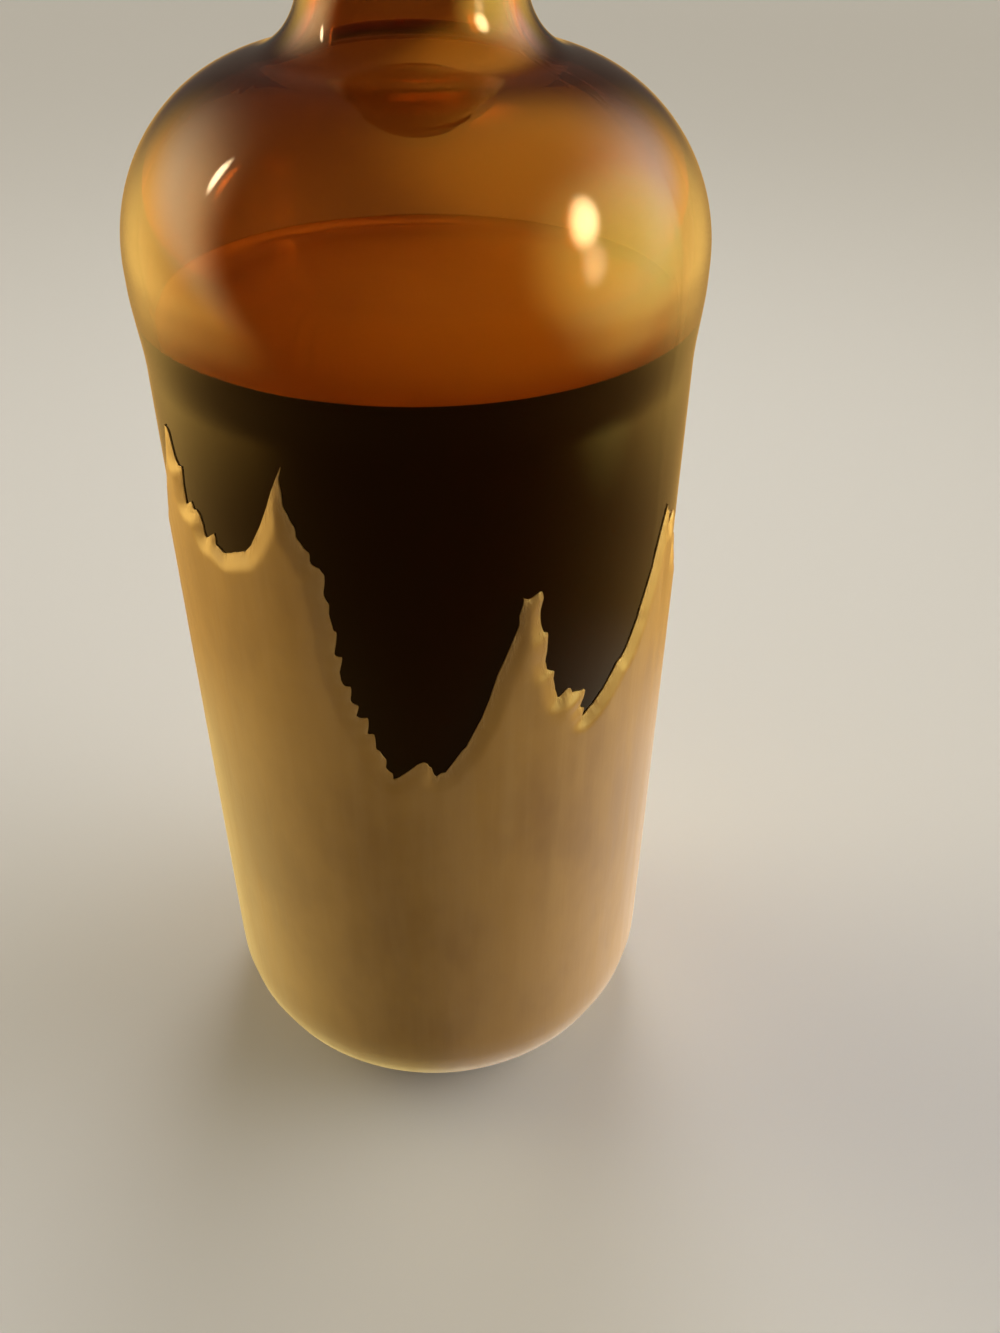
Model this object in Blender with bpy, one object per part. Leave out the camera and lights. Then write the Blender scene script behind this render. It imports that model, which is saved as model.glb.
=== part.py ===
# A round-shouldered amber glass liquor bottle, part full of dark liquor. A tan sleeve with a ragged
# upper edge covers the lower body, and a ribbed screw cap with its loose band closes the neck.
# Metres, +Z up. The origin is the centre of the foot, and the bottle's axis is Z.

import math
import random

import bmesh
import bpy

# Driving dimensions of the body
BODY_RADIUS = 0.0410          # over the sleeve, and at the widest part of the shoulder
PANEL_RADIUS = 0.0402         # the glass behind the sleeve
WALL = 0.0023
HEEL_RADIUS = 0.0200          # the sleeve's outside, round the heel
FOOT_RADIUS = 0.0245          # outer edge of the ring that the bottle stands on
FOOT_WIDTH = 0.0050
FOOT_ANGLE = 70.0             # how far round the heel the foot starts, in degrees below level
PUNT_HEIGHT = 0.0065          # the hollow under the bottle
BASE_THICKNESS = 0.0045       # at the middle of the punt
INNER_HEEL_RISE = 0.0020      # how much higher the heel lies inside than outside
SWELL_START = 0.1402          # where the panel starts to widen into the shoulder
SWELL_END = 0.1525
SHOULDER_START = 0.1544
SHOULDER_RADIUS = 0.0255

# Driving dimensions of the neck and its closure
NECK_RADIUS = 0.0145
NECK_FILLET = 0.0090
NECK_WALL = 0.0026
FINISH_RADIUS = 0.0138        # the glass inside the cap and its band
MOUTH_RADIUS = 0.0110
MOUTH_LENGTH = 0.0120         # the straight bore below the mouth
MOUTH_Z = 0.2582
COLLAR_RADIUS = 0.0163
COLLAR_Z = (0.2290, 0.2335)
EDGE_ROUND = 0.0010           # on the collar and the lip
CAP_RADIUS = 0.0162
CAP_WALL = 0.0014
CAP_Z = (0.2410, 0.2600)
CAP_BEVEL = 0.0006
CAP_RECESS = (0.0120, 0.0002)  # radius and depth of the shallow round recess in the cap's top
BAND_Z = (0.2340, 0.2403)
RIB_COUNT = 40
RIB_DEPTH = 0.0004
RIB_END = 0.0022              # how far below the cap's top the ribs end

# Driving dimensions of the sleeve and the liquor
SLEEVE_THICKNESS = 0.0005
SLEEVE_BOTTOM_ANGLE = 62.0    # how far round the heel the sleeve reaches, in degrees below level
DRINK_LEVEL = 0.1465
MENISCUS = (0.0030, 0.0012)   # how far in it starts from the wall, and how high it climbs

GAP = 0.0003                  # between touching pieces

# The sleeve's ragged edge: peaks and dips, as degrees round from the front and height
PEAKS = ((-105, 0.1310), (-62, 0.1372), (-27, 0.1390), (21, 0.1245),
         (62, 0.1245), (110, 0.1290), (157, 0.1330), (202, 0.1270))
DIPS = ((-132, 0.0900), (-84, 0.1170), (-43, 0.1225), (-3, 0.0880),
        (34, 0.0955), (88, 0.1025), (134, 0.0920), (180, 0.1130))
DIP_ROUNDNESS = 1.9           # 1 gives straight sides, 2 gives round dips between sharp peaks
TOOTH_HEIGHT = 0.0022
TOOTH_LEAN = 0.5              # how far a tooth leans, as a share of its height

# Facets round the axis
GLASS_SIDES = 48
SLEEVE_SIDES = 144

AMBER_GLASS = ((0.19, 0.05, 0.006), 0.05, 0.0)
DARK_LIQUOR = ((0.012, 0.005, 0.002), 0.05, 0.0)
TAN_SATIN = ((0.36, 0.24, 0.11), 0.38, 0.0)
DARK_PLASTIC = ((0.030, 0.016, 0.009), 0.40, 0.0)


def clear_scene():
    for item in list(bpy.data.objects):
        bpy.data.objects.remove(item, do_unlink=True)


def arc(center, radius, start, end, steps):
    """Points on a circle in the profile plane, from one angle in degrees to another."""
    points = []
    for step in range(steps + 1):
        angle = math.radians(start + (end - start) * step / steps)
        points.append((center[0] + radius * math.cos(angle), center[1] + radius * math.sin(angle)))
    return points


def dome(radius, top, rim, steps):
    """A low smooth dome, from its top on the axis out to its rim."""
    points = []
    for step in range(steps + 1):
        share = step / steps
        points.append((radius * share, rim + (top - rim) * (1 + math.cos(math.pi * share)) / 2))
    return points


def swell_radius(height, inset):
    """Radius of the wall where the panel widens smoothly into the shoulder."""
    share = (height - SWELL_START) / (SWELL_END - SWELL_START)
    return PANEL_RADIUS - inset + (BODY_RADIUS - PANEL_RADIUS) * share * share * (3 - 2 * share)


def swell(inset, steps):
    """The widening stretch of the wall, from the bottom up."""
    heights = [SWELL_START + (SWELL_END - SWELL_START) * step / steps for step in range(steps + 1)]
    return [(swell_radius(height, inset), height) for height in heights]


def shoulder(wall, neck_wall, shoulder_steps, fillet_steps):
    """The shoulder's arc and the hollow fillet up to the neck, from the bottom up.

    Both walls are 0 on the outside of the glass."""
    center = (BODY_RADIUS - SHOULDER_RADIUS, SHOULDER_START)
    convex = SHOULDER_RADIUS - wall
    hollow = NECK_FILLET + neck_wall
    across = NECK_RADIUS - neck_wall + hollow - center[0]
    up = math.sqrt((convex + hollow) ** 2 - across ** 2)
    turn = math.degrees(math.atan2(up, across))
    points = arc(center, convex, 0, turn, shoulder_steps)
    points += arc((center[0] + across, center[1] + up), hollow, 180 + turn, 180, fillet_steps)[1:]
    return points


def inner_floor(clearance):
    """The inside of the base and heel, from the axis out; a clearance keeps what fills it off the glass."""
    wall_radius = PANEL_RADIUS - WALL - clearance
    radius = HEEL_RADIUS - (BODY_RADIUS - PANEL_RADIUS) - WALL - clearance
    center = (wall_radius - radius, HEEL_RADIUS + INNER_HEEL_RISE)
    top = PUNT_HEIGHT + BASE_THICKNESS + clearance
    return dome(center[0], top, center[1] - radius, 3) + arc(center, radius, -90, 0, 6)[1:]


def add_material(item, name, finish):
    color, roughness, metallic = finish
    material = bpy.data.materials.new(name)
    material.use_nodes = True
    shader = material.node_tree.nodes["Principled BSDF"]
    shader.inputs["Base Color"].default_value = (*color, 1.0)
    shader.inputs["Roughness"].default_value = roughness
    shader.inputs["Metallic"].default_value = metallic
    material.diffuse_color = (*color, 1.0)
    item.data.materials.append(material)


def turned(name, profile, sides, finish, closed=False):
    """Turns a profile, given as (radius, height) points, once round the Z axis."""
    mesh_data = bmesh.new()
    corners = [mesh_data.verts.new((radius, 0, height)) for radius, height in profile]
    edges = [mesh_data.edges.new(pair) for pair in zip(corners, corners[1:])]
    if closed:
        edges.append(mesh_data.edges.new((corners[-1], corners[0])))
    bmesh.ops.spin(mesh_data, geom=corners + edges, cent=(0, 0, 0), axis=(0, 0, 1),
                   angle=math.tau, steps=sides, use_merge=True)
    bmesh.ops.remove_doubles(mesh_data, verts=mesh_data.verts, dist=0.00001)
    bmesh.ops.recalc_face_normals(mesh_data, faces=mesh_data.faces)
    mesh = bpy.data.meshes.new(name)
    mesh_data.to_mesh(mesh)
    mesh_data.free()
    item = bpy.data.objects.new(name, mesh)
    bpy.context.collection.objects.link(item)
    add_material(item, name, finish)
    mesh.shade_smooth()
    mesh.set_sharp_from_angle(angle=math.radians(35))
    return item


def heel_center():
    return (BODY_RADIUS - HEEL_RADIUS, HEEL_RADIUS)


def make_bottle():
    collar_low, collar_high = COLLAR_Z
    inside = inner_floor(0) + swell(WALL, 3) + shoulder(WALL, NECK_WALL, 6, 4)
    inside += [(MOUTH_RADIUS, MOUTH_Z - MOUTH_LENGTH), (MOUTH_RADIUS, MOUTH_Z - EDGE_ROUND)]

    outside = [(MOUTH_RADIUS + EDGE_ROUND / 2, MOUTH_Z), (FINISH_RADIUS - EDGE_ROUND, MOUTH_Z),
               (FINISH_RADIUS, MOUTH_Z - EDGE_ROUND), (FINISH_RADIUS, collar_high),
               (COLLAR_RADIUS - EDGE_ROUND, collar_high), (COLLAR_RADIUS, collar_high - EDGE_ROUND),
               (COLLAR_RADIUS, collar_low + EDGE_ROUND), (COLLAR_RADIUS - EDGE_ROUND, collar_low),
               (NECK_RADIUS, collar_low - EDGE_ROUND)]
    outside += reversed(shoulder(0, 0, 8, 5))
    outside += reversed(swell(0, 4))
    outside += arc(heel_center(), HEEL_RADIUS - (BODY_RADIUS - PANEL_RADIUS), 0, -FOOT_ANGLE, 5)
    outside += [(FOOT_RADIUS, 0)]
    outside += reversed(dome(FOOT_RADIUS - FOOT_WIDTH, PUNT_HEIGHT, 0, 4))
    return turned("bottle", inside + outside, GLASS_SIDES, AMBER_GLASS)


def make_liquor():
    inset = WALL + GAP
    reach, climb = MENISCUS
    rim = swell_radius(DRINK_LEVEL, inset)
    profile = inner_floor(GAP) + [(swell_radius(SWELL_START, inset), SWELL_START)]
    profile += [(rim, DRINK_LEVEL + climb), (rim - reach / 4, DRINK_LEVEL + climb / 3)]
    profile += [(rim - reach, DRINK_LEVEL), (0, DRINK_LEVEL)]
    return turned("liquor", profile, GLASS_SIDES, DARK_LIQUOR)


def edge_height(turn):
    """Height of the ragged edge, at an angle round from the front in degrees."""
    marks = sorted([(angle, height, True) for angle, height in PEAKS]
                   + [(angle, height, False) for angle, height in DIPS])
    first = marks[0][0]
    turn = first + (turn - first) % 360
    marks.append((first + 360, *marks[0][1:]))
    for low, high in zip(marks, marks[1:]):
        if low[0] <= turn <= high[0]:
            dip, peak = (high, low) if low[2] else (low, high)
            share = abs(turn - dip[0]) / (high[0] - low[0])
            return dip[1] + (peak[1] - dip[1]) * share ** DIP_ROUNDNESS
    return marks[0][1]


def make_sleeve():
    center = heel_center()
    first_top = SWELL_START
    outer = arc(center, HEEL_RADIUS, -SLEEVE_BOTTOM_ANGLE, 0, 5)
    inner = arc(center, HEEL_RADIUS - SLEEVE_THICKNESS, 0, -SLEEVE_BOTTOM_ANGLE, 5)
    profile = [*outer, (BODY_RADIUS, first_top), (BODY_RADIUS - SLEEVE_THICKNESS, first_top), *inner]
    sleeve = turned("sleeve", profile, SLEEVE_SIDES, TAN_SATIN, closed=True)

    chance = random.Random(7)
    teeth = [chance.uniform(-1.0, 1.0) * TOOTH_HEIGHT for _ in range(SLEEVE_SIDES)]
    for corner in sleeve.data.vertices:
        if corner.co.z < first_top - GAP:
            continue
        turn = math.degrees(math.atan2(corner.co.x, -corner.co.y))
        tooth = teeth[round(turn / 360 * SLEEVE_SIDES) % SLEEVE_SIDES]
        radius = math.hypot(corner.co.x, corner.co.y)
        lean = math.radians(turn) + TOOTH_LEAN * tooth / radius
        corner.co = (radius * math.sin(lean), -radius * math.cos(lean), edge_height(turn) + tooth)
    return sleeve


def make_cap():
    low, high = CAP_Z
    inner = CAP_RADIUS - CAP_WALL
    recess_radius, recess_depth = CAP_RECESS
    profile = [(0, high - CAP_WALL), (inner, high - CAP_WALL), (inner, low), (CAP_RADIUS, low),
               (CAP_RADIUS, high - RIB_END), (CAP_RADIUS - CAP_BEVEL / 2, high - CAP_BEVEL),
               (CAP_RADIUS - 2 * CAP_BEVEL, high), (recess_radius, high),
               (recess_radius - CAP_BEVEL, high - recess_depth), (0, high - recess_depth)]
    cap = turned("cap", profile, 2 * RIB_COUNT, DARK_PLASTIC)
    for corner in cap.data.vertices:
        radius = math.hypot(corner.co.x, corner.co.y)
        place = round(math.atan2(corner.co.y, corner.co.x) / math.tau * 2 * RIB_COUNT)
        if place % 2 and radius > CAP_RADIUS - RIB_DEPTH / 2:
            corner.co.x *= (radius - RIB_DEPTH) / radius
            corner.co.y *= (radius - RIB_DEPTH) / radius
    return cap


def make_tamper_band():
    low, high = BAND_Z
    inner = CAP_RADIUS - CAP_WALL
    bevel = CAP_BEVEL / 2
    profile = [(inner, high), (inner, low), (CAP_RADIUS - bevel, low), (CAP_RADIUS, low + bevel),
               (CAP_RADIUS, high - bevel), (CAP_RADIUS - bevel, high)]
    return turned("tamper_band", profile, GLASS_SIDES, DARK_PLASTIC, closed=True)


clear_scene()
make_bottle()
make_liquor()
make_sleeve()
make_cap()
make_tamper_band()
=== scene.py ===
import math
import random

import bmesh
import bpy
from mathutils import Matrix, Vector
from mathutils.geometry import delaunay_2d_cdt


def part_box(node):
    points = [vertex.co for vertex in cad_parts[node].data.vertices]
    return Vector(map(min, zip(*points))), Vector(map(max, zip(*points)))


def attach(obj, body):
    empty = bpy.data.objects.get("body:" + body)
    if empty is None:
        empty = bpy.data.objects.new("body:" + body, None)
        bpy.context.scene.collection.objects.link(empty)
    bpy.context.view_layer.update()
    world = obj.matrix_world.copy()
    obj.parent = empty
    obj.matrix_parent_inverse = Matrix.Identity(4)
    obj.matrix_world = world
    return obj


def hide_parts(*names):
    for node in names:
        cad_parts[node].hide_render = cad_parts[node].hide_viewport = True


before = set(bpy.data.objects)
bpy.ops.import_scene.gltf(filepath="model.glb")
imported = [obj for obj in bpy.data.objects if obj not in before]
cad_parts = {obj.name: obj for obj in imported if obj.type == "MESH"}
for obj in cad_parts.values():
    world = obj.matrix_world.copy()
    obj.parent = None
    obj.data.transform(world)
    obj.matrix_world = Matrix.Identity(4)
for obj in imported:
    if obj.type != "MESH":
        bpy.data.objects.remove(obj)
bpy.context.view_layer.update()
print("frame loaded:", ", ".join(sorted(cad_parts)))


# Shader maths

class Wire:  # a node's output, so that shader maths reads as Python
    def __init__(self, tree, socket=None):
        self.tree = tree
        self.socket = socket

    # any node: its type, its settings, which are set first, then the values or links of its sockets
    def make(self, kind, settings=None, sockets=None, output=0):
        node = self.tree.nodes.new(kind)
        for name, value in (settings or {}).items():
            setattr(node, name, value)
        for name, value in (sockets or {}).items():
            if isinstance(value, Wire):
                self.tree.links.new(value.socket, node.inputs[name])
            else:
                node.inputs[name].default_value = value
        return Wire(self.tree, node.outputs[output])

    def isVector(self):
        return self.socket.type in ("VECTOR", "RGBA")

    def join(self, operation, first, second):
        wires = [value for value in (first, second) if isinstance(value, Wire)]
        if not any(wire.isVector() for wire in wires):
            return self.make("ShaderNodeMath", {"operation": operation}, {0: first, 1: second})
        if operation == "MULTIPLY" and not isinstance(second, (Wire, tuple)):
            return self.make("ShaderNodeVectorMath", {"operation": "SCALE"}, {0: first, "Scale": second})
        return self.make("ShaderNodeVectorMath", {"operation": operation}, {0: first, 1: second})

    def __add__(self, other):
        return self.join("ADD", self, other)

    def __radd__(self, other):
        return self.join("ADD", other, self)

    def __sub__(self, other):
        return self.join("SUBTRACT", self, other)

    def __rsub__(self, other):
        return self.join("SUBTRACT", other, self)

    def __mul__(self, other):
        return self.join("MULTIPLY", self, other)

    def __rmul__(self, other):
        return self.join("MULTIPLY", self, other)

    def __pow__(self, other):
        return self.join("POWER", self, other)

    def part(self, axis):
        return self.make("ShaderNodeSeparateXYZ", None, {0: self}, "XYZ".index(axis))

    def ramp(self, low, high, bottom=0.0, top=1.0):
        sockets = {"Value": self, "From Min": low, "From Max": high, "To Min": bottom, "To Max": top}
        return self.make("ShaderNodeMapRange", {"interpolation_type": "SMOOTHSTEP"}, sockets)

    def blend(self, first, second):  # this wire is the share of the second colour
        colors = [(*value, 1.0) if isinstance(value, tuple) else value for value in (first, second)]
        settings = {"data_type": "RGBA", "clamp_factor": True}
        return self.make("ShaderNodeMix", settings, {0: self, 6: colors[0], 7: colors[1]}, 2)

    def noise(self, scale, detail, roughness, stretch=(1, 1, 1)):
        sockets = {"Vector": self * stretch, "Scale": scale, "Detail": detail, "Roughness": roughness}
        return self.make("ShaderNodeTexNoise", None, sockets)


def newMaterial(name):
    material = bpy.data.materials.new(name)
    material.use_nodes = True
    material.node_tree.nodes.clear()
    wire = Wire(material.node_tree)
    here = wire.make("ShaderNodeTexCoord", None, None, "Object")
    return material, wire, here


def finishMaterial(wire, sockets, bump=None, volume=None):
    if bump:
        height, distance = bump
        sockets["Normal"] = wire.make("ShaderNodeBump", None, {"Height": height, "Distance": distance})
    ends = {"Surface": wire.make("ShaderNodeBsdfPrincipled", None, sockets)}
    if volume:
        ends["Volume"] = wire.make("ShaderNodeVolumeAbsorption", None, volume)
    output = wire.tree.nodes.new("ShaderNodeOutputMaterial")
    for name, value in ends.items():
        wire.tree.links.new(value.socket, output.inputs[name])


# Turned shapes

onAxis = 1e-7   # a point whose radius is smaller lies on the axis


def arc(center, radius, start, end, steps):
    angles = [math.radians(start + (end - start) * step / steps) for step in range(steps + 1)]
    return [(center[0] + radius * math.cos(a), center[1] + radius * math.sin(a)) for a in angles]


def dome(radius, top, rim, steps):
    shares = [step / steps for step in range(steps + 1)]
    return [(radius * s, rim + (top - rim) * (1 + math.cos(math.pi * s)) / 2) for s in shares]


def turned(name, profile, sides, shape=None, closed=False):
    # turns (radius, height) points round Z; shape may change a point by its angle
    points, faces, rings = [], [], []
    for radius, height in profile:
        ring = []
        if radius < onAxis:
            ring = [len(points)] * sides
            points.append((0, 0, height))
        else:
            for side in range(sides):
                angle = math.tau * side / sides
                r, z = shape(radius, height, angle) if shape else (radius, height)
                ring.append(len(points))
                points.append((r * math.sin(angle), -r * math.cos(angle), z))
        rings.append(ring)
    if closed:
        rings.append(rings[0])
    for low, high in zip(rings, rings[1:]):
        for side in range(sides):
            after = (side + 1) % sides
            corners = [low[side], low[after], high[after], high[side]]
            face = list(dict.fromkeys(corners))
            if len(face) > 2:
                faces.append(face)
    return newMesh(name, points, faces)


def newMesh(name, points, faces, sharp=40):  # edges that turn by more than sharp degrees stay sharp
    mesh = bpy.data.meshes.new(name)
    mesh.from_pydata(points, [], faces)
    working = bmesh.new()
    working.from_mesh(mesh)
    bmesh.ops.recalc_face_normals(working, faces=working.faces)
    working.to_mesh(mesh)
    working.free()
    mesh.shade_smooth()
    mesh.set_sharp_from_angle(angle=math.radians(sharp))
    item = bpy.data.objects.new(name, mesh)
    bpy.context.scene.collection.objects.link(item)
    return item


def place(item, material, node):
    item.data.materials.append(material)
    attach(item, "root")
    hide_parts(node)
    print("made", item.name, "with", len(item.data.polygons), "faces")


# The glass. A noise is given as its scale, detail, roughness and, where it has one, its stretch.

bottle = {
    "radius": 0.0410,               # at the shoulder, and over the sleeve
    "panelRadius": 0.0402,          # behind the sleeve
    "wall": 0.0023,
    "heelRadius": 0.0200,
    "innerHeelRise": 0.0020,
    "baseThickness": 0.0045,
    "puntHeight": 0.0065,
    "footRadius": 0.0245,
    "footWidth": 0.0050,
    "footAngle": 70,                # degrees down the heel to where the foot starts
    "footRows": (0.2, 0.22, 0.5, 0.78, 0.8, 1.0),   # shares of its width, for the bars
    "swell": (0.1402, 0.1525),
    "shoulderStart": 0.1544,
    "shoulderRadius": 0.0255,
    "neckRadius": 0.0145,
    "neckFillet": 0.0090,
    "neckWall": 0.0026,
    "finishRadius": 0.0138,
    "mouthRadius": 0.0110,
    "mouthLength": 0.0120,
    "collarRadius": 0.0163,
    "collar": (0.2290, 0.2335),
    "edgeRound": 0.0010,
    "seamHeight": 0.00004,          # the two mould seams
    "seamAngles": (55, 235),
    "seamWidth": 1.1,               # degrees
    "gripCount": 72,                # the fine bars round the foot
    "gripDepth": 0.00022,
    "sides": 288,
    "baseSteps": (12, 24),          # rows of the inner floor and of the heel
    "insideSteps": (10, 30, 16),    # rows of the swell, the shoulder and the neck's fillet
    "outsideSteps": (12, 40, 20),
    "edgeSteps": (5, 6, 4, 7, 7, 6),    # rows of the small rounded edges, from the lip down
    "puntSteps": 14,
    "color": (0.94, 0.90, 0.82),
    "absorbed": (0.787, 0.563, 0.193),
    "density": 1250,
    "ior": 1.36,
    "reflected": (1.0, 0.72, 0.32),
    "roughness": 0.015,
    "waves": (38, 2.0, 0.45, (1, 1, 0.6)),
    "waveHeight": 0.00006,
    "haze": (120, 3.0, 0.6),
    "hazeRange": (0.45, 0.8),
    "hazeColor": 0.97,              # how much of the color is left where the haze is darkest
    "hazeRoughness": 2.5,           # how many times rougher the roughest haze is
}


def swellRadius(height, inset):
    low, high = bottle["swell"]
    share = min(max((height - low) / (high - low), 0), 1)
    grow = bottle["radius"] - bottle["panelRadius"]
    return bottle["panelRadius"] - inset + grow * share * share * (3 - 2 * share)


def swell(inset, steps):
    low, high = bottle["swell"]
    heights = [low + (high - low) * step / steps for step in range(steps + 1)]
    return [(swellRadius(height, inset), height) for height in heights]


def shoulder(wall, neckWall, steps, filletSteps):
    center = (bottle["radius"] - bottle["shoulderRadius"], bottle["shoulderStart"])
    convex = bottle["shoulderRadius"] - wall
    hollow = bottle["neckFillet"] + neckWall
    across = bottle["neckRadius"] - neckWall + hollow - center[0]
    up = math.sqrt((convex + hollow) ** 2 - across ** 2)
    turn = math.degrees(math.atan2(up, across))
    fillet = (center[0] + across, center[1] + up)
    return arc(center, convex, 0, turn, steps) + arc(fillet, hollow, 180 + turn, 180, filletSteps)[1:]


def innerFloor(clearance):
    # the inside of the base and heel, from the axis out
    radius = bottle["heelRadius"] - (bottle["radius"] - bottle["panelRadius"]) - bottle["wall"] - clearance
    center = (bottle["panelRadius"] - bottle["wall"] - clearance - radius,
              bottle["heelRadius"] + bottle["innerHeelRise"])
    top = bottle["puntHeight"] + bottle["baseThickness"] + clearance
    floorSteps, heelSteps = bottle["baseSteps"]
    return dome(center[0], top, center[1] - radius, floorSteps) + arc(center, radius, -90, 0, heelSteps)[1:]


def seamAndGrip(radius, height, angle):
    # the mould seams on the outside, and the bars round the foot
    degrees = math.degrees(angle)
    outside = radius > bottle["panelRadius"] - bottle["wall"] / 2 or height > bottle["swell"][1]
    if outside and bottle["heelRadius"] < height < bottle["collar"][0]:
        for seam in bottle["seamAngles"]:
            near = 1 - abs(degrees - seam) / bottle["seamWidth"]
            radius += bottle["seamHeight"] * max(near, 0)
    ringMiddle = bottle["footRadius"] - bottle["footWidth"] / 2
    if height < bottle["gripDepth"] / 2 and abs(radius - ringMiddle) < bottle["footWidth"] / 3:
        if math.sin(angle * bottle["gripCount"]) > 0:
            height += bottle["gripDepth"]
    return radius, height


def makeGlass():
    mouthZ = max(vertex.co.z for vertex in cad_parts["bottle"].data.vertices)
    collarLow, collarHigh = bottle["collar"]
    finish, mouth, collar = bottle["finishRadius"], bottle["mouthRadius"], bottle["collarRadius"]
    edge = bottle["edgeRound"]
    lipSteps, mouthSteps, hollowSteps, upperSteps, lowerSteps, underSteps = bottle["edgeSteps"]

    swellSteps, shoulderSteps, filletSteps = bottle["insideSteps"]
    inside = innerFloor(0) + swell(bottle["wall"], swellSteps)
    inside += shoulder(bottle["wall"], bottle["neckWall"], shoulderSteps, filletSteps)
    inside += [(mouth, mouthZ - bottle["mouthLength"])]
    inside += arc((mouth + edge / 2, mouthZ - edge / 2), edge / 2, 180, 90, lipSteps)

    swellSteps, shoulderSteps, filletSteps = bottle["outsideSteps"]
    heelCenter = (bottle["radius"] - bottle["heelRadius"], bottle["heelRadius"])
    heel = bottle["heelRadius"] - (bottle["radius"] - bottle["panelRadius"])
    foot = bottle["footRadius"]
    ringInner = foot - bottle["footWidth"]
    outside = arc((finish - edge, mouthZ - edge), edge, 90, 0, mouthSteps)
    outside += [(finish, collarHigh + edge / 2)]
    outside += arc((finish + edge / 2, collarHigh + edge / 2), edge / 2, 180, 270, hollowSteps)[1:]
    outside += arc((collar - edge, collarHigh - edge), edge, 90, 0, upperSteps)
    outside += arc((collar - edge, collarLow + edge), edge, 0, -90, lowerSteps)
    outside += arc((bottle["neckRadius"] + edge, collarLow - edge), edge, 90, 180, underSteps)
    outside += reversed(shoulder(0, 0, shoulderSteps, filletSteps))
    outside += reversed(swell(0, swellSteps))
    outside += arc(heelCenter, heel, 0, -bottle["footAngle"], bottle["baseSteps"][1])
    outside += [(foot + edge / 2, edge / 3), (foot, 0)]
    outside += [(foot - bottle["footWidth"] * share, 0) for share in bottle["footRows"]]
    outside += reversed(dome(ringInner, bottle["puntHeight"], 0, bottle["puntSteps"])[:-1])
    return turned("glassShell", inside + outside, bottle["sides"], seamAndGrip)


def makeAmberGlass():
    material, wire, here = newMaterial("amberGlass")
    waves = here.noise(*bottle["waves"])
    haze = here.noise(*bottle["haze"])
    hazy = tuple(c * bottle["hazeColor"] for c in bottle["color"])
    smooth = bottle["roughness"]
    sockets = {
        "Base Color": haze.blend(hazy, bottle["color"]),
        "Roughness": haze.ramp(*bottle["hazeRange"], smooth, smooth * bottle["hazeRoughness"]),
        "IOR": bottle["ior"],
        "Specular Tint": (*bottle["reflected"], 1.0),
        "Transmission Weight": 1.0,
    }
    volume = {"Color": (*bottle["absorbed"], 1.0), "Density": bottle["density"]}
    finishMaterial(wire, sockets, (waves, bottle["waveHeight"]), volume)
    return material


# The drink, with light painted on its top

drink = {
    "reach": 0.00012,               # how far it reaches into the glass
    "meniscusWidth": 0.0032,
    "meniscusHeight": 0.0012,
    "meniscusCurve": 2.4,
    "sides": 192,
    "wallSteps": 8,                 # rows up the wall, and across the meniscus
    "meniscusSteps": 14,
    "topRows": (0.8, 0.6, 0.4, 0.2, 0),     # shares of the surface's radius
    "deepColor": (0.010, 0.0042, 0.0012),
    # painted light: the top is given lighter colours than the near-black sides, for light falling on it
    # from above
    "paintedTopDim": (0.34, 0.27, 0.17),
    "paintedTopBright": (0.50, 0.55, 0.36),
    "paintedLightAcross": (-0.025, 0.036),   # painted light: the top is darker on the left and lighter on the right
    "paintedTopTilt": (0.2, 0.5),          # how far up a face looks where it takes the painted light of the top
    # a paler ring of painted light on the top, next to the wall
    "paintedRimLight": (0.46, 0.40, 0.27),
    "rimWidth": 0.008,
    "rimLine": 0.001,
    "cloud": (45, 3.0, 0.55),
    "cloudShare": 0.16,
    "roughness": 0.25,
    "coatRoughness": 0.02,
    "coatIor": 1.36,
}


def makeDrink():
    _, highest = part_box("liquor")
    level = highest.z - drink["meniscusHeight"]
    inset = bottle["wall"] - drink["reach"]
    rim = swellRadius(highest.z, inset)
    low = bottle["swell"][0]
    steps = drink["wallSteps"]
    heights = [low + (highest.z - low) * step / steps for step in range(steps)]
    profile = innerFloor(-drink["reach"])
    profile += [(swellRadius(height, inset), height) for height in heights]
    steps = drink["meniscusSteps"]
    for step in range(steps + 1):
        share = step / steps
        climb = drink["meniscusHeight"] * (1 - share) ** drink["meniscusCurve"]
        profile.append((rim - drink["meniscusWidth"] * share, level + climb))
    profile += [(rim * share, level) for share in drink["topRows"]]
    return turned("drink", profile, drink["sides"])


def makeDarkDrink():
    material, wire, here = newMaterial("darkDrink")
    x, y = here.part("X"), here.part("Y")
    across = (x * x + y * y) ** 0.5
    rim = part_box("liquor")[1].x
    # painted light: the top turns paler toward the wall
    middle = across.ramp(rim - drink["rimWidth"], rim - drink["rimLine"], 1.0, 0.0)
    # painted light: faces that look up take the lighter top colours, and they also get the coat
    paintedTopAndCoat = wire.make("ShaderNodeTexCoord", None, None, "Normal").part("Z").ramp(*drink["paintedTopTilt"])
    cloud = here.noise(*drink["cloud"]) * drink["cloudShare"]
    # painted light: the top grows lighter from left to right
    paintedTopLight = x.ramp(*drink["paintedLightAcross"]).blend(drink["paintedTopDim"], drink["paintedTopBright"])
    paintedTopLight = cloud.blend(middle.blend(drink["paintedRimLight"], paintedTopLight), drink["paintedTopBright"])
    sockets = {
        "Base Color": paintedTopAndCoat.blend(drink["deepColor"], paintedTopLight),
        "Roughness": drink["roughness"],
        "Specular IOR Level": 0.0,
        "Coat Weight": paintedTopAndCoat,
        "Coat Roughness": drink["coatRoughness"],
        "Coat IOR": drink["coatIor"],
    }
    finishMaterial(wire, sockets)
    return material


# The tan sleeve

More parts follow.
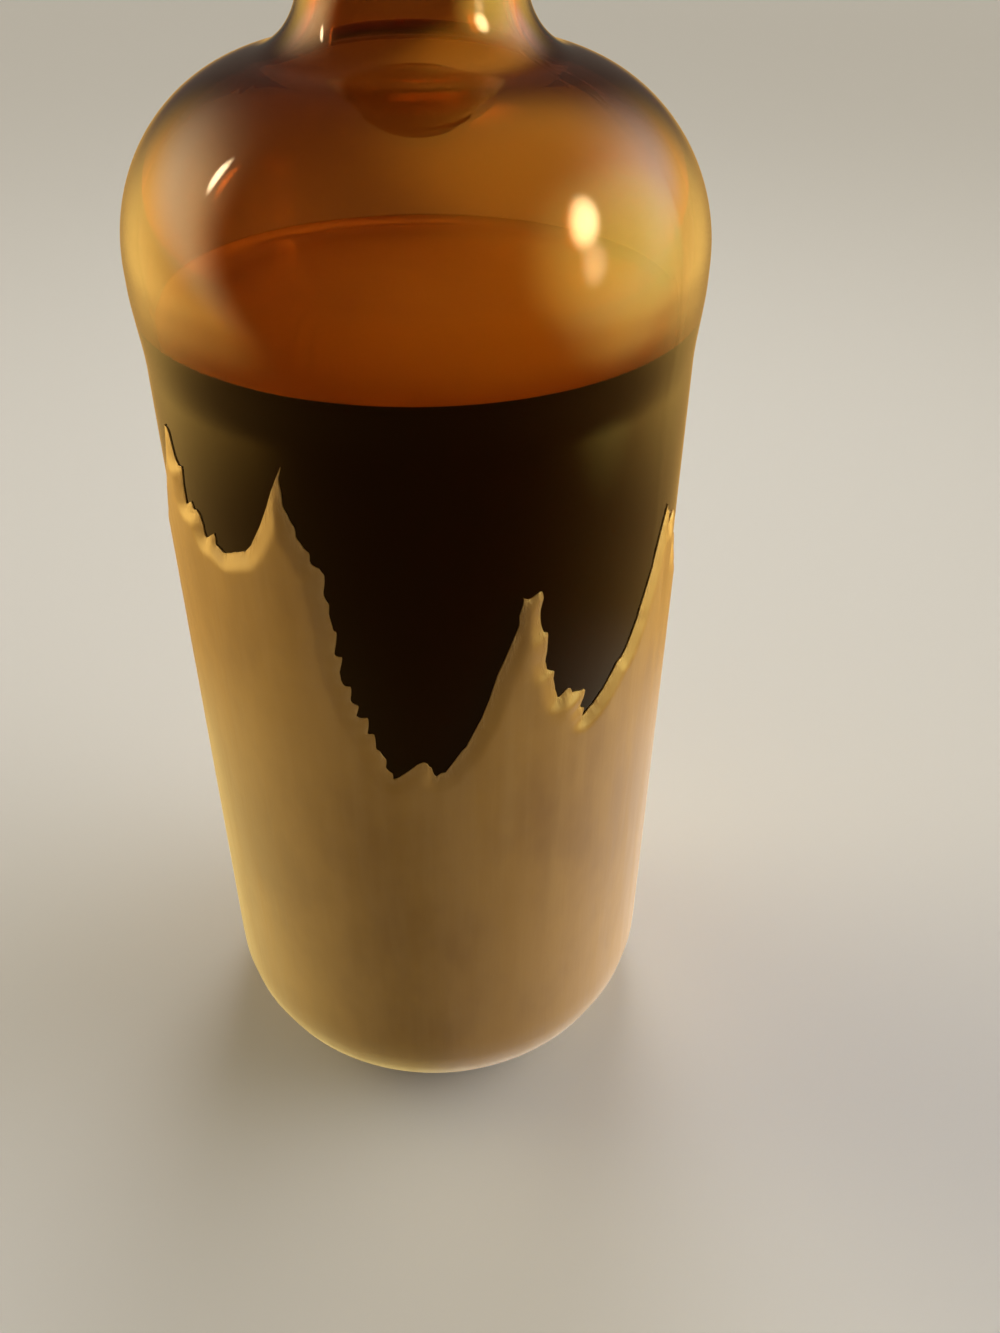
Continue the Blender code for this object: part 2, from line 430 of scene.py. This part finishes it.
sleeve = {
    "thickness": 0.00079,           # down to the glass
    "edgeThickness": 0.00015,
    "edgeTaper": 0.0026,            # how far from the torn edge it starts to thin
    "taperCurve": 1.2,
    "bottomAngle": 62,              # degrees down the heel
    "gridTurn": 3.0,                # degrees between the columns of the plain part
    "gridStep": 0.004,
    "fineStep": 0.00065,            # between the points beside the torn edge
    "fineRows": 4,
    "sharpAngle": 60,
    "flatWeld": 1e-7,               # points of the flat sheet that are closer than this are one
    "seamWeld": 0.000002,           # and of the rolled one
    "seamEdge": 0.0006,             # shorter edges don't count where the seam's walls are found
    "cadEdgeFloor": 0.06,           # the CAD sleeve's ragged edge is all above this
    "cadEdgeSkin": 0.0002,          # and as close as this to its outside
    "cadOverlap": 4,                # its columns that are repeated past the back
    "edgeStep": 0.00035,
    "lean": 33,                     # degrees from upright, the way the torn teeth lean
    "toothPitch": 0.0012,
    "toothHeight": 0.0010,
    "toothPower": 1.0,              # a power of chance: less than 1 makes more of them long
    "sliverPitch": 0.0026,          # the large teeth
    "sliverHeight": 0.0044,
    "sliverPower": 0.5,
    "sliverMiddle": 0.0018,
    "pitchChance": 0.3,
    "toothCurve": 1.6,
    "slopeReach": 0.0025,           # the edge's slope is taken over this much to each side
    "steepness": 1.2,               # how much the large teeth shrink where the edge is steep
    "edgeBand": 0.0035,             # how far the torn edge's look reaches
    "deepTan": (0.235, 0.114, 0.014),
    "paleTan": (0.340, 0.180, 0.028),
    "edgeTan": (0.42, 0.255, 0.075),
    "edgeShare": 0.45,              # how much of it shows on the torn fibres
    "streakShare": 0.20,
    "tornRange": (0.62, 1.0),
    "tornLeast": 0.3,               # the torn look between the fibres
    "patches": (34, 4.0, 0.6, (1, 1, 0.6)),
    "patchRange": (0.34, 0.66),
    "streaks": (230, 3.0, 0.6, (1, 1, 0.10)),
    "streakRange": (0.35, 0.75),
    "fibres": (900, 4.0, 0.7, (1, 1, 0.35)),
    "fibreRange": (0.35, 0.65),
    "grain": (2600, 2.0, 0.6),
    "reliefs": (0.25, 0.6, 2.0),    # of the grain, the streaks and the fibres; the patches have 1
    "reliefHeight": 0.00004,
    "roughness": 0.40,
    "roughnessSpread": 0.12,
    "coat": 0.75,
    "edgeCoat": 0.6,                # how much of it is gone at the torn edge
    "coatRoughness": 0.18,
    "ior": 1.45,
    "seed": 23,
}


def cadEdge():
    # the ragged edge's height at each of the CAD sleeve's columns, by angle from the front
    _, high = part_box("sleeve")
    marks = {}
    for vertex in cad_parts["sleeve"].data.vertices:
        radius = math.hypot(vertex.co.x, vertex.co.y)
        if vertex.co.z > sleeve["cadEdgeFloor"] and radius > high.x - sleeve["cadEdgeSkin"]:
            turn = round(math.degrees(math.atan2(vertex.co.x, -vertex.co.y)), 2)
            marks[turn] = vertex.co.z
    return sorted(marks.items())


def tornTeeth(period):
    # small teeth up and down and large ones, by the distance across them; they repeat round the bottle
    chance = random.Random(sleeve["seed"])
    shift = sleeve["pitchChance"]

    def row(pitch, height, power, ways):
        count = round(period / pitch)
        places = sorted((i + chance.uniform(-shift, shift)) * period / count for i in range(count))
        sizes = [height * chance.choice(ways) * chance.random() ** power for _ in places]
        places.append(places[0] + period)
        sizes.append(sizes[0])

        def size(across):
            across = places[0] + (across - places[0]) % period
            for i in range(count):
                if across <= places[i + 1]:
                    share = (across - places[i]) / (places[i + 1] - places[i])
                    return sizes[i] + (sizes[i + 1] - sizes[i]) * share ** sleeve["toothCurve"]
            return sizes[0]
        return size

    small = row(sleeve["toothPitch"], sleeve["toothHeight"], sleeve["toothPower"], (-1, 1))
    large = row(sleeve["sliverPitch"], sleeve["sliverHeight"], sleeve["sliverPower"], (0, 1))
    return small, large


def edgeOutline():
    # the torn edge, unrolled: (distance round, height) points from the back's left to its right
    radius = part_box("sleeve")[1].x
    around = math.tau * radius
    marks = cadEdge()
    more = sleeve["cadOverlap"]
    before = [(turn - 360, height) for turn, height in marks[-more:]]
    after = [(turn + 360, height) for turn, height in marks[:more]]
    path = [(math.radians(turn) * radius, height) for turn, height in before + marks + after]
    fine = []
    for (x0, z0), (x1, z1) in zip(path, path[1:]):
        count = max(1, round(math.hypot(x1 - x0, z1 - z0) / sleeve["edgeStep"]))
        fine += [(x0 + (x1 - x0) * i / count, z0 + (z1 - z0) * i / count) for i in range(count)]
    lean = math.radians(sleeve["lean"])
    small, large = tornTeeth(around * math.cos(lean))
    reach = round(sleeve["slopeReach"] / sleeve["edgeStep"])
    torn = []
    for i, (x, z) in enumerate(fine):
        if -around / 2 <= x <= around / 2:
            (x0, z0), (x1, z1) = fine[i - reach], fine[i + reach]
            slope = (z1 - z0) / (x1 - x0)
            across = x * math.cos(lean) - z * math.sin(lean)
            deep = sleeve["sliverMiddle"] - large(across)
            push = small(across) + deep / (1 + sleeve["steepness"] * slope ** 2)
            torn.append((x + push * math.sin(lean), z + push * math.cos(lean)))
    torn.append((torn[0][0] + around, torn[0][1]))
    return torn, radius


def sleevePlace(x, z, inset):
    # a point of the unrolled sleeve, on the bottle; below the heel's start z is a distance round the heel
    heel = bottle["heelRadius"]
    radius, height = bottle["radius"] - inset, z
    if z < heel:
        angle = (heel - z) / heel
        radius = bottle["radius"] - heel + (heel - inset) * math.cos(angle)
        height = heel - (heel - inset) * math.sin(angle)
    turn = x / bottle["radius"]
    return Vector((radius * math.sin(turn), -radius * math.cos(turn), height))


def edgeDistance(torn):
    # gives a function for the distance of a point of the unrolled sleeve to the torn edge
    cell = sleeve["edgeBand"]
    cells = {}
    for x, z in torn:
        cells.setdefault((round(x / cell), round(z / cell)), []).append((x, z))

    def distance(x, z):
        across, up = round(x / cell), round(z / cell)
        homes = [(across + i, up + j) for i in (-1, 0, 1) for j in (-1, 0, 1)]
        close = [math.hypot(x - a, z - b) for home in homes for a, b in cells.get(home, [])]
        return min(close, default=cell)
    return distance


def besideEdge(torn):
    # the points of a fine grid near the torn edge
    step = sleeve["fineStep"]
    ways = range(-sleeve["fineRows"], sleeve["fineRows"] + 1)
    homes = {(round(x / step), round(z / step)) for x, z in torn}
    spots = sorted({(across + i, up + j) for across, up in homes for i in ways for j in ways})
    return [((across + 0.5 * (up % 2)) * step, up * step) for across, up in spots]


def sheetOutline(torn, half, bottom):
    # the unrolled sheet's lower edge, right side, torn edge and left side
    columns = round(360 / sleeve["gridTurn"])
    left, right = torn[0], torn[-1]
    base = [(-half + 2 * half * i / columns, bottom) for i in range(columns + 1)]
    base[0], base[-1] = (left[0], bottom), (right[0], bottom)
    rows = max(2, round((left[1] - bottom) / sleeve["gridStep"]))
    rise = (left[1] - bottom) / rows
    heights = [bottom + rise * i for i in range(1, rows)]
    leftSide = [(left[0], height) for height in reversed(heights)]
    return base + [(right[0], height) for height in heights] + torn[::-1] + leftSide


def sheetPoints(torn, half, bottom, gapTo):
    # the points inside the outline: a plain grid, and a fine one beside the torn edge
    columns = round(360 / sleeve["gridTurn"])
    top = max(z for _, z in torn)
    rows = round((top - bottom) / sleeve["gridStep"])
    fine = sleeve["fineStep"]
    spots = []
    for row in range(1, rows):
        z = bottom + (top - bottom) * row / rows
        shift = 0.5 * (row % 2)
        spots += [(-half + 2 * half * (column + shift) / columns, z) for column in range(1, columns)]
    spots = [spot for spot in spots if gapTo(*spot) > fine * sleeve["fineRows"]]
    spots += [spot for spot in besideEdge(torn) if gapTo(*spot) > fine / 2]
    left, right = torn[0][0] + fine / 2, torn[-1][0] - fine / 2
    return [spot for spot in spots if left < spot[0] < right]


def bothSides(faces, count):
    # the outer faces, the inner ones, whose points come count later, and the walls between their edges
    sides = dict.fromkeys((a, b) for face in faces for a, b in zip(face, [*face[1:], face[0]]))
    inner = [[i + count for i in reversed(face)] for face in faces]
    walls = [[b, a, a + count, b + count] for a, b in sides if (b, a) not in sides]
    return [list(face) for face in faces] + inner + walls


def closeSeam(item):
    # joins the two ends of the rolled sheet at the back, and drops the walls between them
    working = bmesh.new()
    working.from_mesh(item.data)
    loose = [vertex for vertex in working.verts if not vertex.link_faces]
    bmesh.ops.delete(working, geom=loose, context="VERTS")
    bmesh.ops.remove_doubles(working, verts=working.verts, dist=sleeve["seamWeld"])
    walls = []
    for face in working.faces:
        crowded = [edge for edge in face.edges if len(edge.link_faces) > 2]
        long = [edge for edge in face.edges if edge.calc_length() > sleeve["seamEdge"]]
        if crowded and all(edge in crowded for edge in long):
            walls.append(face)
    bmesh.ops.delete(working, geom=walls, context="FACES_ONLY")
    bmesh.ops.recalc_face_normals(working, faces=working.faces)
    working.to_mesh(item.data)
    working.free()


def makeSleeve():
    torn, radius = edgeOutline()
    half = math.pi * radius
    heel = bottle["heelRadius"]
    bottom = heel - heel * math.radians(sleeve["bottomAngle"])
    gapTo = edgeDistance(torn)
    outline = sheetOutline(torn, half, bottom)
    points = [Vector(p) for p in outline + sheetPoints(torn, half, bottom, gapTo)]
    edges = [(i, (i + 1) % len(outline)) for i in range(len(outline))]
    insideOnly = 1      # the triangles outside the outline are left out
    flat, _, faces, *_ = delaunay_2d_cdt(points, edges, [], insideOnly, sleeve["flatWeld"])

    near, insets = [], []
    for p in flat:
        gap = gapTo(p.x, p.y)
        near.append(max(0.0, 1 - gap / sleeve["edgeBand"]))
        thin = max(0.0, 1 - gap / sleeve["edgeTaper"]) ** sleeve["taperCurve"]
        insets.append((sleeve["thickness"] - sleeve["edgeThickness"]) * thin)
    placed = [sleevePlace(p.x, p.y, inset) for p, inset in zip(flat, insets)]
    placed += [sleevePlace(p.x, p.y, sleeve["thickness"]) for p in flat]
    item = newMesh("tanSleeve", placed, bothSides(faces, len(flat)), sleeve["sharpAngle"])
    attribute = item.data.attributes.new("nearEdge", "FLOAT", "POINT")
    attribute.data.foreach_set("value", near + near)
    closeSeam(item)
    return item


def makeTanFilm():
    material, wire, here = newMaterial("tanFilm")
    near = wire.make("ShaderNodeAttribute", {"attribute_name": "nearEdge"}, None, "Fac")
    patches = here.noise(*sleeve["patches"]).ramp(*sleeve["patchRange"])
    streaks = here.noise(*sleeve["streaks"]).ramp(*sleeve["streakRange"])
    fibres = here.noise(*sleeve["fibres"]).ramp(*sleeve["fibreRange"])
    grain = here.noise(*sleeve["grain"])
    least = sleeve["tornLeast"]
    torn = near.ramp(*sleeve["tornRange"]) * (least + fibres * (1 - least))
    color = patches.blend(sleeve["deepTan"], sleeve["paleTan"])
    color = (streaks * sleeve["streakShare"]).blend(color, sleeve["edgeTan"])
    color = (torn * sleeve["edgeShare"]).blend(color, sleeve["edgeTan"])
    grainRelief, streakRelief, fibreRelief = sleeve["reliefs"]
    height = grain * grainRelief + streaks * streakRelief + patches + torn * fibres * fibreRelief
    sockets = {
        "Base Color": color,
        "Roughness": sleeve["roughness"] + (streaks - 0.5) * sleeve["roughnessSpread"],
        "Coat Weight": sleeve["coat"] - near * sleeve["edgeCoat"],
        "Coat Roughness": sleeve["coatRoughness"],
        "IOR": sleeve["ior"],
    }
    finishMaterial(wire, sockets, (height, sleeve["reliefHeight"]))
    return material


# The cap and its band

closure = {
    "wall": 0.0014,
    "ribs": 80,
    "ribSides": (6, 3),             # sides for each rib, on the cap and on its band
    "ribDepth": 0.00042,
    "ribCurve": 0.6,
    "ribStart": 0.0008,             # above the skirt's lower edge
    "ribEnd": 0.0026,               # below the top
    "ribFade": (0.0004, 0.0008),    # how fast they deepen from below, and from above
    "ribTip": 0.0003,
    "ribSkin": 1e-6,                # only points this close to the outside have ribs
    "skirtRound": 0.0003,
    "topRound": 0.0013,
    "topSteps": 9,                  # rows of the top's rounding, and of the small ones
    "edgeSteps": 4,
    "recess": (0.0122, 0.00025),
    "recessRings": (2, 4),          # rings of its floor, in its depths from the edge
    "bandBevel": 0.0003,
    "bandShoulder": 0.0006,
    "groove": ((0.0022, 0), (0.0026, 0.0002), (0.0030, 0)),     # heights on the band, and depths
    "bridges": 10,                  # the broken links between the cap and its band
    "bridgeHeight": 0.0009,
    "bridgeWidth": 0.03,            # half of it, in radians
    "bridgeBreak": 0.0003,
    "color": (0.022, 0.012, 0.007),
    "wornColor": (0.060, 0.038, 0.024),
    "wear": (900, 4.0, 0.65),
    "wearRange": (0.60, 0.80),
    "wearShare": 0.35,
    "roughness": 0.42,
    "clouds": (110, 3.0, 0.5),
    "cloudRoughness": 0.16,
    "grain": (3200, 2.0, 0.6),
    "grainHeight": 0.00002,
    "shine": 0.35,
    "ior": 1.48,
}


def makeCap():
    low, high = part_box("cap")
    radius, top = high.x, high.z
    wall, skirt, rounding = closure["wall"], closure["skirtRound"], closure["topRound"]
    ribLow, ribHigh = low.z + closure["ribStart"], top - closure["ribEnd"]
    fadeUp, fadeDown = closure["ribFade"]

    def rib(r, z, angle):
        if r < radius - closure["ribSkin"] or not ribLow <= z <= ribHigh:
            return r, z
        fade = min(1, (z - ribLow) / fadeUp, (ribHigh - z) / fadeDown)
        wave = 0.5 - 0.5 * math.cos(angle * closure["ribs"])
        return r - closure["ribDepth"] * wave ** closure["ribCurve"] * max(0, fade), z

    profile = [(0, top - wall), (radius - wall, top - wall), (radius - wall, low.z)]
    profile += arc((radius - skirt, low.z + skirt), skirt, -90, 0, closure["edgeSteps"])
    profile += [(radius, ribLow), (radius, ribLow + fadeUp), (radius, (ribLow + ribHigh) / 2)]
    profile += [(radius, ribHigh - fadeDown), (radius, ribHigh - closure["ribTip"]), (radius, ribHigh)]
    profile += arc((radius - rounding, top - rounding), rounding, 0, 90, closure["topSteps"])
    recessRadius, recessDepth = closure["recess"]
    floorZ = top - recessDepth
    profile += [(recessRadius + recessDepth * 2, top), (recessRadius, top)]
    profile += [(recessRadius - recessDepth * reach, floorZ) for reach in closure["recessRings"]]
    profile += [(0, floorZ)]
    return turned("screwCap", profile, closure["ribs"] * closure["ribSides"][0], rib)


def makeTamperBand():
    low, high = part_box("tamper_band")
    radius = high.x
    inner = radius - closure["wall"]
    bevel, bevelSteps = closure["bandBevel"], closure["edgeSteps"]
    step = math.tau / closure["bridges"]
    bridgeLow = high.z - bevel - closure["bridgeHeight"]

    def bridge(r, z, angle):
        # short stubs stand on the band where it broke from the cap
        across = abs((angle + step / 2) % step - step / 2)
        broken = z > bridgeLow and across >= closure["bridgeWidth"]
        return r, z - closure["bridgeBreak"] if broken else z

    profile = [(inner, high.z), (inner, low.z)]
    profile += arc((radius - bevel, low.z + bevel), bevel, -90, 0, bevelSteps)
    profile += [(radius - depth, low.z + height) for height, depth in closure["groove"]]
    profile += [(radius, high.z - bevel - closure["bandShoulder"])]
    profile += arc((radius - bevel, high.z - bevel), bevel, 0, 90, bevelSteps)
    return turned("tamperRing", profile, closure["ribs"] * closure["ribSides"][1], bridge, closed=True)


def makeDarkPlastic():
    material, wire, here = newMaterial("darkPlastic")
    wear = here.noise(*closure["wear"]).ramp(*closure["wearRange"]) * closure["wearShare"]
    clouds = here.noise(*closure["clouds"])
    grain = here.noise(*closure["grain"])
    sockets = {
        "Base Color": wear.blend(closure["color"], closure["wornColor"]),
        "Roughness": closure["roughness"] + (clouds - 0.5) * closure["cloudRoughness"],
        "IOR": closure["ior"],
        "Specular IOR Level": closure["shine"],
    }
    finishMaterial(wire, sockets, (grain, closure["grainHeight"]))
    return material


place(makeGlass(), makeAmberGlass(), "bottle")
place(makeDrink(), makeDarkDrink(), "liquor")
place(makeSleeve(), makeTanFilm(), "sleeve")
darkPlastic = makeDarkPlastic()
place(makeCap(), darkPlastic, "cap")
place(makeTamperBand(), darkPlastic, "tamper_band")


# The studio. The surroundings' light goes by its direction: up, back and side are shares of a whole one.

studio = {
    "floorSize": 8.0,
    "floorGap": 0.0001,             # the floor lies this far under the foot's ring
    "floorColor": (0.61, 0.64, 0.69),
    "shade": (3.0, 2.0, 0.5),
    "shadeShare": 0.5,
    "shadeDark": 0.97,
    "backColor": (0.66, 0.64, 0.60),
    "ambient": (0.15, 0.125, 0.10),
    "lowAmbient": (0.20, 0.105, 0.040),
    "horizon": (-0.15, 0.05),       # where the low light gives way to the other
    "leftSide": (7.8, 6.7, 4.0),
    "rightSide": (6.6, 6.1, 5.5),
    "sideSplit": (-0.1, 0.1),
    "goldenSide": (7.3, 4.6, 1.1),  # the side light low down and further back
    "golden": (-0.25, 0.15),
    "goldenLean": 0.5,
    "lowLeft": (1.0, 0.75, 0.28),
    "lowRight": (1.02, 0.84, 0.64),
    "lowGolden": (0.66, 0.38, 0.11),
    "lowHeight": (-0.66, -0.56),    # where the low light turns golden
    "leftFront": (-0.36, 0.06),     # where the side light starts and is full, going backward
    "rightFront": (-0.70, -0.05),
    "leftLean": 0.5,                # how much further back it starts higher up
    "lowFront": (-0.90, 0.25),
    "sideWidth": (0.10, 1.0),       # squares of the share of sideways
    "sideTop": (0.45, 0.90),
    "sideBottom": (-0.52, -0.22),
    "halo": (84, 54),               # the middle of a wide glow that shows in reflections alone
    "haloSpread": (0.35, 3),        # the cosine where it starts, and how fast it grows
    "haloColor": (5.4, 2.9, 0.40),
    "aim": (0, 0, 0.16),            # what the lamps stand round
    # name: middle, long and short half axis as (azimuth from the front, elevation), distance, strength,
    # the share of its radius at full strength, color
    "glows": {
        "topGlow": ((170, 58), (30, 0), (0, 17), 0.50, 15.0, 0.3, (1.0, 0.93, 0.82)),
        "rightGlow": ((71, 29.5), (12, 11.5), (8, -4), 0.7, 60, 0.3, (1.0, 0.90, 0.70)),
        "rightTail": ((66.5, 12), (2, 13), (7, -3), 0.72, 22, 0.3, (1.0, 0.92, 0.60)),
        "rightSheen": ((78, 10), (78, 0), (0, 62), 0.9, 13, 0.0, (0.94, 0.92, 0.27)),
        "leftGlow": ((-102.5, 34.5), (-5.5, 8.5), (2.2, 1.1), 0.7, 45, 0.3, (1.0, 0.90, 0.70)),
    },
    "lightsTheDrink": "topGlow",    # the others show in reflections alone
}

camera = {
    "place": (0.0, -0.17048, 0.20890),
    "pitch": 37.43,                 # degrees down
    "yaw": 4.10,
    "roll": 0.78,
    "focalPixels": 1180,
    "imageHeight": 1333,
    "sensor": 36.0,
    "clipStart": 0.01,
}


def makeFloor():
    size, z = studio["floorSize"], -studio["floorGap"]
    corners = [(-size, -size, z), (size, -size, z), (size, size, z), (-size, size, z)]
    floor = newMesh("floor", corners, [(0, 1, 2, 3)])
    material, wire, here = newMaterial("paleFloor")
    floor.data.materials.append(material)
    shade = here.noise(*studio["shade"]) * studio["shadeShare"]
    color = studio["floorColor"]
    dark = tuple(c * studio["shadeDark"] for c in color)
    sockets = {"Base Color": shade.blend(color, dark), "Roughness": 1.0, "Specular IOR Level": 0.0}
    finishMaterial(wire, sockets)
    floor.visible_glossy = False    # reflections show the soft surroundings


def wayTo(azimuth, elevation):
    a, e = math.radians(azimuth), math.radians(elevation)
    return Vector((math.sin(a) * math.cos(e), -math.cos(a) * math.cos(e), math.sin(e)))


def makeWorld():
    world = bpy.data.worlds.new("studioWorld")
    bpy.context.scene.world = world
    world.use_nodes = True
    world.node_tree.nodes.clear()
    wire = Wire(world.node_tree)
    way = wire.make("ShaderNodeTexCoord", None, None, "Generated")
    side, back, up = (way.part(axis) for axis in "XYZ")
    right = side.ramp(*studio["sideSplit"])

    lowSide = right.blend(studio["lowLeft"], studio["lowRight"])
    lowSide = up.ramp(*studio["lowHeight"]).blend(lowSide, studio["lowGolden"])
    low = back.ramp(*studio["lowFront"]).blend(studio["lowAmbient"], lowSide)
    color = up.ramp(*studio["horizon"]).blend(low, studio["ambient"])

    leftShare = (back - up * studio["leftLean"]).ramp(*studio["leftFront"]) * (1 - right)
    front = leftShare + back.ramp(*studio["rightFront"]) * right
    height = up.ramp(*studio["sideTop"], 1.0, 0.0) * up.ramp(*studio["sideBottom"])
    share = front * (side * side).ramp(*studio["sideWidth"]) * height
    bright = right.blend(studio["leftSide"], studio["rightSide"])
    golden = (up - back * studio["goldenLean"]).ramp(*studio["golden"])
    color = share.blend(color, golden.blend(studio["goldenSide"], bright))

    toward = sum(part * share for part, share in zip((side, back, up), wayTo(*studio["halo"])))
    start, growth = studio["haloSpread"]
    mirrored = wire.make("ShaderNodeLightPath", None, None, "Is Glossy Ray")
    halo = toward.ramp(start, 1.0) ** growth * mirrored
    color = color + halo.blend((0, 0, 0), studio["haloColor"])

    seen = wire.make("ShaderNodeLightPath", None, None, "Is Camera Ray")
    light = wire.make("ShaderNodeBackground", None, {"Color": seen.blend(color, studio["backColor"])})
    output = wire.tree.nodes.new("ShaderNodeOutputWorld")
    wire.tree.links.new(light.socket, output.inputs["Surface"])


def softPanel(name, core, diffuse):
    # a flat round panel, two across, that the camera doesn't see; its share falls from 1 to 0 at the edge
    panel = newMesh(name, [(-1, -1, 0), (1, -1, 0), (1, 1, 0), (-1, 1, 0)], [(0, 1, 2, 3)])
    material, wire, here = newMaterial(name + "Finish")
    panel.data.materials.append(material)
    panel.visible_camera = False
    panel.visible_shadow = False
    panel.visible_diffuse = diffuse
    panel.visible_glossy = not diffuse
    x, y = here.part("X"), here.part("Y")
    return panel, wire, ((x * x + y * y) ** 0.5).ramp(core, 1.0, 1.0, 0.0)


def makeGlow(name, middle, long, short, distance, strength, core, color):
    # a soft round lamp: bright in the middle, fading to its edge
    center = wayTo(*middle)
    halves = []
    for x, y in (long, short):
        across = wayTo(middle[0] + x, middle[1] + y) - wayTo(middle[0] - x, middle[1] - y)
        halves.append(across * distance / 2)
    glow, wire, fade = softPanel(name, core, name == studio["lightsTheDrink"])
    sockets = {
        "Base Color": (0, 0, 0, 1),
        "Specular IOR Level": 0.0,
        "Emission Color": (*color, 1),
        "Emission Strength": strength,
        "Alpha": fade,
    }
    finishMaterial(wire, sockets)
    turn = Matrix((*halves, -center)).transposed().to_4x4()
    glow.matrix_world = Matrix.Translation(Vector(studio["aim"]) + center * distance) @ turn


def makeCamera():
    pitch, yaw, roll = (math.radians(camera[key]) for key in ("pitch", "yaw", "roll"))
    ahead = Vector((math.sin(yaw) * math.cos(pitch), math.cos(yaw) * math.cos(pitch), -math.sin(pitch)))
    side = Vector((math.cos(yaw), -math.sin(yaw), 0))
    up = side.cross(ahead)
    right = side * math.cos(roll) + up * math.sin(roll)
    up = up * math.cos(roll) - side * math.sin(roll)
    data = bpy.data.cameras.new("camera")
    data.sensor_width = camera["sensor"]
    data.lens = camera["sensor"] * camera["focalPixels"] / camera["imageHeight"]
    data.clip_start = camera["clipStart"]
    item = bpy.data.objects.new("camera", data)
    turn = Matrix((right, up, -ahead)).transposed().to_4x4()
    item.matrix_world = Matrix.Translation(camera["place"]) @ turn
    bpy.context.scene.collection.objects.link(item)
    bpy.context.scene.camera = item


makeFloor()
makeWorld()
for name, values in studio["glows"].items():
    makeGlow(name, *values)
print("studio has", len(studio["glows"]), "soft lamps")
makeCamera()
bpy.context.scene.view_settings.view_transform = "Standard"
